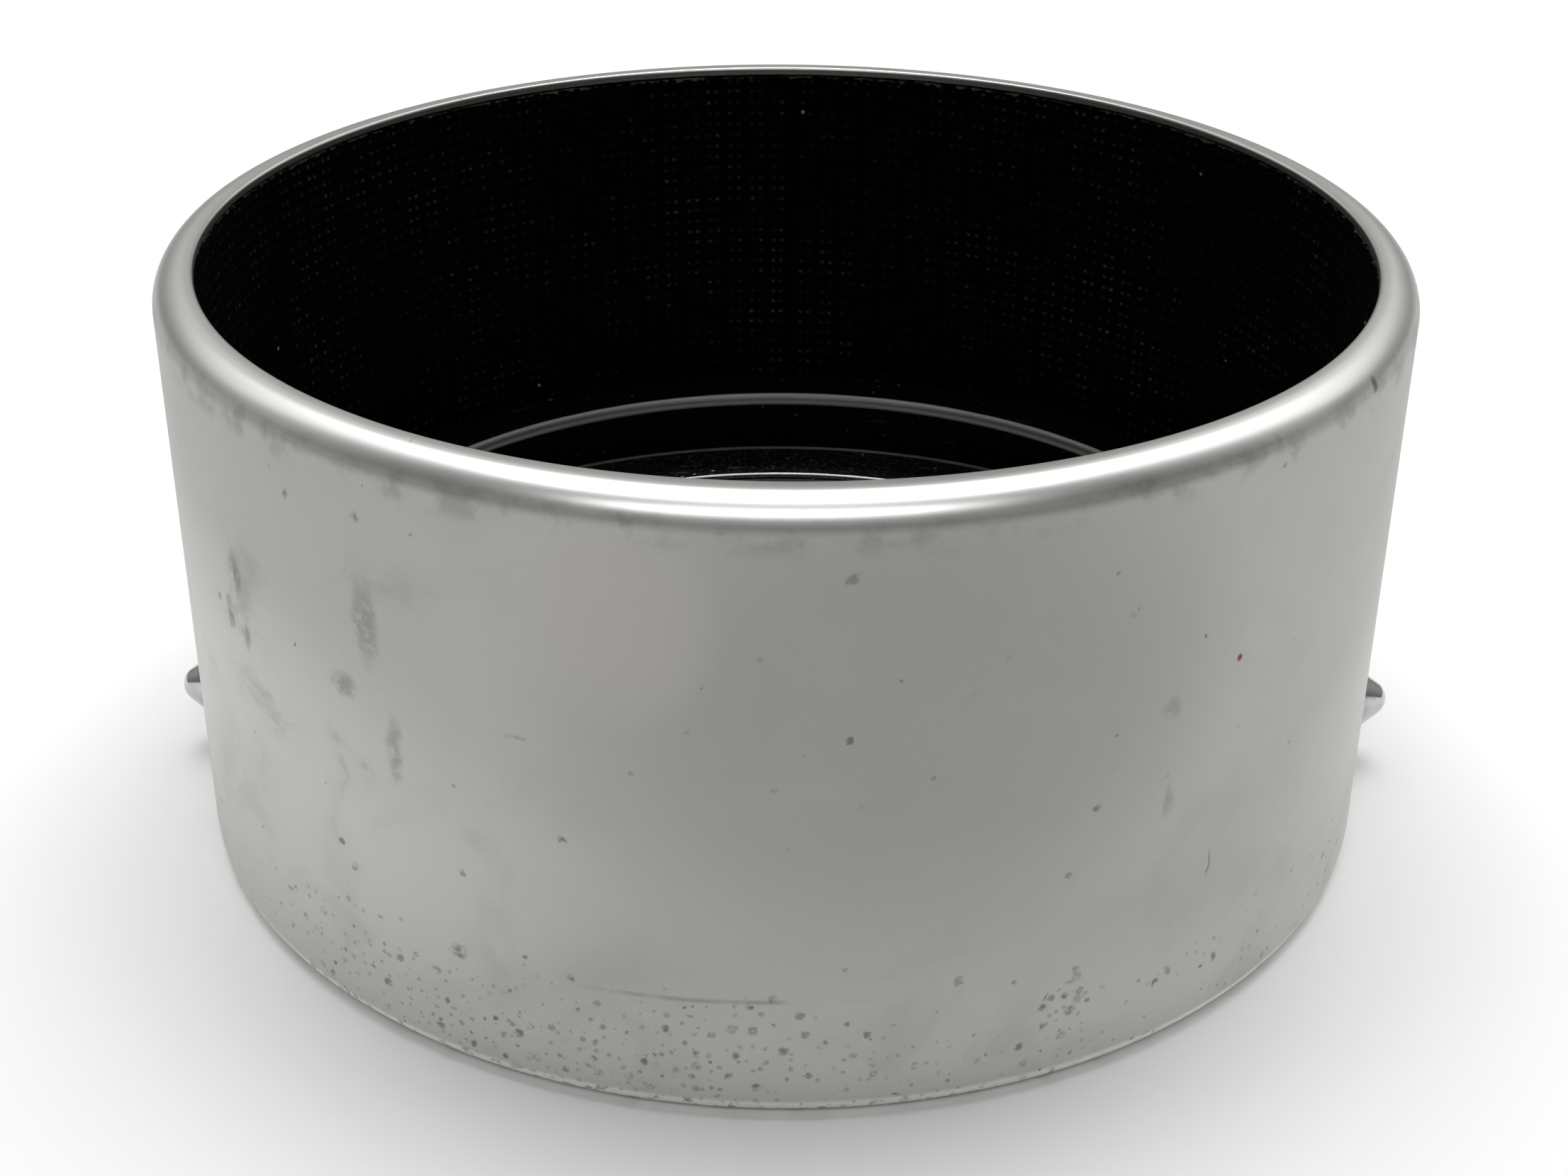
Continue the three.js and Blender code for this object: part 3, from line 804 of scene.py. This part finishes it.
def woven_lining():
    rows = 190
    columns = 216
    heights = [LINING_BOTTOM + (LINING_TOP - RAGGED - LINING_BOTTOM) * row / rows for row in range(rows + 1)]
    bore = LINING_BORE + RIDGE
    profile = [(bore, height) for height in reversed(heights)]
    profile += [(INSERT_RADIUS, LINING_BOTTOM), (INSERT_RADIUS, heights[-1])]
    mesh = spun(profile, steps=columns)
    chance = random.Random(4)
    tufts = [chance.uniform(-1, 1) for _ in range(columns)]
    for vertex in mesh.verts:
        angle = math.atan2(vertex.co.x, -vertex.co.y)
        inside = vertex.co.xy.length < (bore + INSERT_RADIUS) / 2
        if inside:
            row = (vertex.co.z + row_sway(angle, math.sin)) / ROW_PITCH
            ridge = RIDGE * math.cos(FULL_TURN * (row - 0.5))
            vertex.co.xy *= 1 - ridge / bore
        if vertex.co.z > heights[-1] - 0.01 * MM:
            tuft = tufts[int((angle + math.pi) / FULL_TURN * (columns - 0.5)) % columns]
            vertex.co.z += RAGGED * tuft * 0.9
    return piece("woven_lining", mesh, "black_cloth", "barrel", "black_cloth", "cloth_lining", sharp=60)


lining = woven_lining()

# %% [markdown]
# ### Loose fibres
# Cut cloth frays. Short fibres stand out of the edge at random angles, each one a thin cone with four
# sides. They ride with the lining as part of the same sheet.

# %% Loose fibres on the cut edge
FIBRE_COUNT = 420
FIBRE_RADIUS = 0.009 * MM


def edge_fibres():
    chance = random.Random(11)
    mesh = bmesh.new()
    for _ in range(FIBRE_COUNT):
        length = chance.uniform(0.10, 0.28) * MM
        made = bmesh.ops.create_cone(mesh, cap_ends=True, segments=4, radius1=FIBRE_RADIUS,
                                     radius2=FIBRE_RADIUS * 0.3, depth=length)
        angle = chance.uniform(0, FULL_TURN)
        lean = Matrix.Rotation(chance.uniform(0.5, 2.3), 4, "X")
        spin = Matrix.Rotation(angle + chance.uniform(-0.9, 0.9), 4, "Z")
        away = LINING_BORE + chance.uniform(-0.03, 0.03) * MM
        lift = Matrix.Translation((away * math.sin(angle), -away * math.cos(angle),
                                   LINING_TOP - chance.uniform(0.0, 0.2) * MM))
        bmesh.ops.transform(mesh, matrix=lift @ spin @ lean, verts=made["verts"])
    data = bpy.data.meshes.new("edge_fibres")
    mesh.to_mesh(data)
    mesh.free()
    data.materials.append(FINISHES["black_cloth"])
    shape = bpy.data.objects.new("edge_fibres", data)
    bpy.context.scene.collection.objects.link(shape)
    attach(shape, "barrel")
    return shape


fibres = edge_fibres()

# %% [markdown]
# ### The inner rings
# Four turned rings close the bore below the cloth: the retainer with its full-round glossy edge, the sleeve
# of the dark recess, the thin floor plate with its rubbed edge, and the collar that slides over the lens.

# %% Retainer, recess and floor
def retainer_ring():
    low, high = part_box("lining_retainer_ring")
    edge = (high.z - low.z) / 2
    profile = [(INSERT_RADIUS, low.z), (INSERT_RADIUS, high.z)]
    profile += arc(RETAINER_BORE + edge, low.z + edge, edge, 90, 270, 20)
    return piece("retainer_ring", spun(profile), "ring_enamel", "barrel", "black_enamel",
                 "lining_retainer_ring")


def recess_sleeve():
    low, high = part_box("spacer_sleeve")
    bore = LINING_BORE
    ease = 0.1 * MM
    profile = [(INSERT_RADIUS, low.z), (INSERT_RADIUS, high.z), (bore + ease, high.z), (bore, high.z - ease),
               (bore, low.z + ease), (bore + ease, low.z)]
    return piece("recess_sleeve", spun(profile), "recess_enamel", "barrel", "black_enamel", "spacer_sleeve")


def floor_plate():
    low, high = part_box("cover_plate")
    ease = 0.09 * MM
    profile = [(INSERT_RADIUS, low.z), (INSERT_RADIUS, high.z)]
    profile += arc(LENS_BORE + ease, high.z - ease, ease, 90, 180, 5)
    profile += arc(LENS_BORE + ease, low.z + ease, ease, 180, 270, 5)
    return piece("floor_plate", spun(profile), "floor_enamel", "barrel", "black_enamel", "cover_plate")


retainer_ring()
recess_sleeve()
floor_plate()

# %% [markdown]
# ### Cutters
# The collar has holes and slots. Each is the shape of the tool that would make it, taken out of the ring.

# %% Small cutters
def round_drill(radius, bottom, top, place, countersink=None):
    """A drill about Z. countersink is (radius, height): a cone that opens downwards from that height."""
    profile = [(0, bottom), (radius, bottom), (radius, top), (0, top)]
    if countersink is not None:
        wide, height = countersink
        profile = [(0, bottom), (wide, bottom), (wide, height), (radius, height + wide - radius),
                   (radius, top), (0, top)]
    drill = spun(profile, steps=48)
    bmesh.ops.translate(drill, vec=place, verts=drill.verts)
    return drill


def block(size, place, turn=0.0):
    cutter = bmesh.new()
    bmesh.ops.create_cube(cutter, size=1.0)
    bmesh.ops.scale(cutter, vec=size, verts=cutter.verts)
    bmesh.ops.translate(cutter, vec=place, verts=cutter.verts)
    bmesh.ops.rotate(cutter, cent=(0, 0, 0), matrix=Matrix.Rotation(turn, 3, "Z"), verts=cutter.verts)
    return cutter


def middle_of(node):
    low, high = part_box(node)
    return (low + high) / 2


# %% [markdown]
# ### The lens collar
# The collar has a flat flange, which is the face the hood stands on, and a short tube whose bore slides
# over the lens. A narrow lead-in guides the lens, two slots let the claws through, and two countersunk
# holes take the screws.

# %% Lens collar
SCREW_HEAD_RADIUS = (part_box("rear_screw_right")[1].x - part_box("rear_screw_right")[0].x) / 2
SCREW_SHANK_RADIUS = 0.5 * MM
SCREW_SINK = bottom_of("rear_screw_right")
SCREW_RIM = 0.1 * MM


def lens_collar():
    top = top_of("mount_collar")
    ease = 0.08 * MM
    lead_in = 0.3 * MM
    outer = LENS_BORE + COLLAR_WALL
    profile = [(LENS_BORE + lead_in, 0), (INSERT_RADIUS - ease, 0), (INSERT_RADIUS, ease),
               (INSERT_RADIUS, FLANGE_THICKNESS), (outer, FLANGE_THICKNESS), (outer, top)]
    profile += arc(LENS_BORE + ease, top - ease, ease, 90, 180, 4)
    profile += [(LENS_BORE, lead_in)]
    shape = piece("lens_collar", spun(profile), "collar_enamel", "barrel", "black_enamel", "mount_collar")
    for side in ("right", "left"):
        claw = middle_of(f"claw_{side}")
        screw = middle_of(f"rear_screw_{side}")
        slot_size = Vector((4, 3.8, 1.5)) * MM
        slot = block(slot_size, (LENS_BORE, 0, claw.z), math.atan2(claw.y, claw.x))
        clear = 0.05 * MM
        drill = round_drill(SCREW_SHANK_RADIUS + clear, -1 * MM, 2 * FLANGE_THICKNESS, (screw.x, screw.y, 0),
                            (SCREW_HEAD_RADIUS + clear, SCREW_SINK + SCREW_RIM))
        cut_away(shape, slot, drill)
    return shape


lens_collar()

# %% [markdown]
# ### The release buttons
# Each button is a polished cone with a round tip, on a skirt that runs in the barrel's hole and a thin stem
# that holds the arm. The flank of the cone runs tangent into the tip, so no line shows between them.

# %% Release buttons
BUTTON_SHOULDER = 25.6 * MM
BUTTON_CONE_START = 26.25 * MM
BUTTON_TIP_RADIUS = 0.9 * MM
BUTTON_STEM_RADIUS = 0.5 * MM
BUTTON_EASE = 0.12 * MM


def button_profile(stem_end):
    tip_centre = BUTTON_TIP - BUTTON_TIP_RADIUS
    cone_length = tip_centre - BUTTON_CONE_START
    lean = math.atan2(cone_length, BUTTON_RADIUS)
    lean += math.asin(BUTTON_TIP_RADIUS / math.hypot(cone_length, BUTTON_RADIUS))
    tangent = 90 - math.degrees(lean)
    ease = BUTTON_EASE
    profile = [(0, stem_end), (BUTTON_STEM_RADIUS - ease, stem_end), (BUTTON_STEM_RADIUS, stem_end + ease),
               (BUTTON_STEM_RADIUS, BUTTON_SHOULDER), (BUTTON_RADIUS - ease, BUTTON_SHOULDER),
               (BUTTON_RADIUS, BUTTON_SHOULDER + ease)]
    profile += arc(BUTTON_RADIUS - ease, BUTTON_CONE_START - ease, ease, 0, 45, 6)
    profile += arc(0, tip_centre, BUTTON_TIP_RADIUS, tangent, 88, 14)
    return profile + [(0, BUTTON_TIP)]


def release_button(side, sign):
    low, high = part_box(f"button_{side}")
    profile = button_profile(min(abs(low.x), abs(high.x)))
    mesh = spun(profile, closed=False, steps=96)
    turn = Matrix.Rotation(sign * math.pi / 2, 4, "Y")
    bmesh.ops.transform(mesh, matrix=Matrix.Translation((0, 0, BUTTON_HEIGHT)) @ turn, verts=mesh.verts)
    return piece(f"release_button_{side}", mesh, "chrome", f"catch_{side}", "chrome", f"button_{side}")


for side, sign in (("right", 1), ("left", -1)):
    release_button(side, sign)

# %% [markdown]
# ### The catch
# The arms and claws are stamped and filed, so their frame nodes are copied, the loose triangles are merged
# and every crisp edge gets a small bevel. The wire springs are copied too and rounded by one subdivision. A
# spring rides on no body.

# %% Arms, claws and springs
def merged_copy(node):
    mesh = bmesh.new()
    mesh.from_mesh(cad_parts[node].data)
    bmesh.ops.remove_doubles(mesh, verts=mesh.verts, dist=0.001 * MM)
    return mesh


def stamped(name, node, finish, body, slot, bevel):
    mesh = merged_copy(node)
    bmesh.ops.dissolve_limit(mesh, angle_limit=math.radians(1), verts=mesh.verts, edges=mesh.edges)
    crisp = [edge for edge in mesh.edges if edge.is_manifold and edge.calc_face_angle() > math.radians(50)]
    bmesh.ops.bevel(mesh, geom=crisp, offset=bevel, offset_type="OFFSET", segments=2, profile=0.5,
                    affect="EDGES", material=-1, clamp_overlap=True)
    bmesh.ops.triangulate(mesh, faces=[face for face in mesh.faces if len(face.verts) > 4])
    return piece(name, mesh, finish, body, slot, node, sharp=30)


def wire_spring(side):
    node = f"return_spring_{side}"
    shape = piece(f"wire_spring_{side}", merged_copy(node), "spring_steel", None, "spring_steel", node,
                  sharp=70)
    rounding = shape.modifiers.new("rounding", "SUBSURF")
    rounding.levels = 1
    rounding.render_levels = 1
    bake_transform(shape)
    return shape


for side in ("right", "left"):
    body = f"catch_{side}"
    stamped(f"catch_arm_{side}", f"slide_arm_{side}", "spring_steel", body, "spring_steel", 0.06 * MM)
    stamped(f"lens_claw_{side}", f"claw_{side}", "hard_steel", body, "hard_steel", 0.08 * MM)
    wire_spring(side)

# %% [markdown]
# ### Pins, rivets, pillars and screws
# These are small turned parts. Each is a spun profile with its own eased edges, moved to where its frame
# node stands. The screw gets a driver slot.

# %% Small turned parts
def small_turned(name, profile, node, finish, body, slot, closed=False):
    mesh = spun(profile, closed=closed, steps=40)
    place = middle_of(node)
    bmesh.ops.translate(mesh, vec=(place.x, place.y, 0), verts=mesh.verts)
    return piece(name, mesh, finish, body, slot, node)


def guide_pin(side, end):
    node = f"guide_pin_{end}_{side}"
    low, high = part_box(node)
    shank = 0.3 * MM
    head = (high.x - low.x) / 2
    shoulder = top_of(f"slide_arm_{side}") - 1.55 * MM
    thick = 0.35 * MM
    ease = 0.06 * MM
    profile = [(0, low.z), (shank, low.z), (shank, shoulder), (head - ease, shoulder),
               (head, shoulder + ease), (head, shoulder + thick - ease), (head - ease, shoulder + thick),
               (shank, shoulder + thick), (shank, high.z - ease), (shank - ease, high.z), (0, high.z)]
    return small_turned(f"shouldered_pin_{end}_{side}", profile, node, "brass", "barrel", "brass")


def rivet(side):
    node = f"claw_rivet_{side}"
    low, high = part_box(node)
    shank = 0.4 * MM
    head = (high.x - low.x) / 2
    seat = high.z - 0.3 * MM
    profile = [(0, low.z), (shank, low.z), (shank, seat), (head, seat)]
    profile += [(head * math.cos(a), seat + (high.z - seat) * math.sin(a))
                for a in [math.radians(10 * step) for step in range(1, 9)]]
    profile += [(0, high.z)]
    return small_turned(f"domed_rivet_{side}", profile, node, "brass", f"catch_{side}", "brass")


def pillar(side):
    node = f"cover_pillar_{side}"
    low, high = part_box(node)
    bore = SCREW_SHANK_RADIUS + 0.05 * MM
    outer = (high.x - low.x) / 2
    ease = 0.08 * MM
    profile = [(bore, low.z), (outer - ease, low.z), (outer, low.z + ease), (outer, high.z - ease),
               (outer - ease, high.z), (bore, high.z)]
    return small_turned(f"threaded_pillar_{side}", profile, node, "brass", "barrel", "brass", closed=True)


def slotted_screw(side):
    node = f"rear_screw_{side}"
    low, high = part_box(node)
    place = middle_of(node)
    head, shank = SCREW_HEAD_RADIUS, SCREW_SHANK_RADIUS
    ease = 0.05 * MM
    thread_pitch = 0.25 * MM
    thread_depth = 0.06 * MM
    start = low.z + SCREW_RIM + head - shank
    profile = [(0, low.z), (head - ease, low.z), (head, low.z + ease), (head, low.z + SCREW_RIM),
               (shank, start)]
    turns = int((high.z - start) / thread_pitch) - 1
    for turn in range(turns):
        root = start + (turn + 0.5) * thread_pitch
        profile += [(shank - thread_depth, root), (shank, root + thread_pitch / 2)]
    profile += [(shank - ease, high.z), (0, high.z)]
    shape = small_turned(f"slotted_screw_{side}", profile, node, "hard_steel", "barrel", "hard_steel")
    slot_size = Vector((3 * head, 0.22 * MM, 0.6 * MM))
    slot = block(slot_size, (0, 0, 0), math.radians(35))
    bmesh.ops.translate(slot, vec=(place.x, place.y, SCREW_SINK), verts=slot.verts)
    cut_away(shape, slot)
    return shape


for side in ("right", "left"):
    for end in ("front", "rear"):
        guide_pin(side, end)
    rivet(side)
    pillar(side)
    slotted_screw(side)
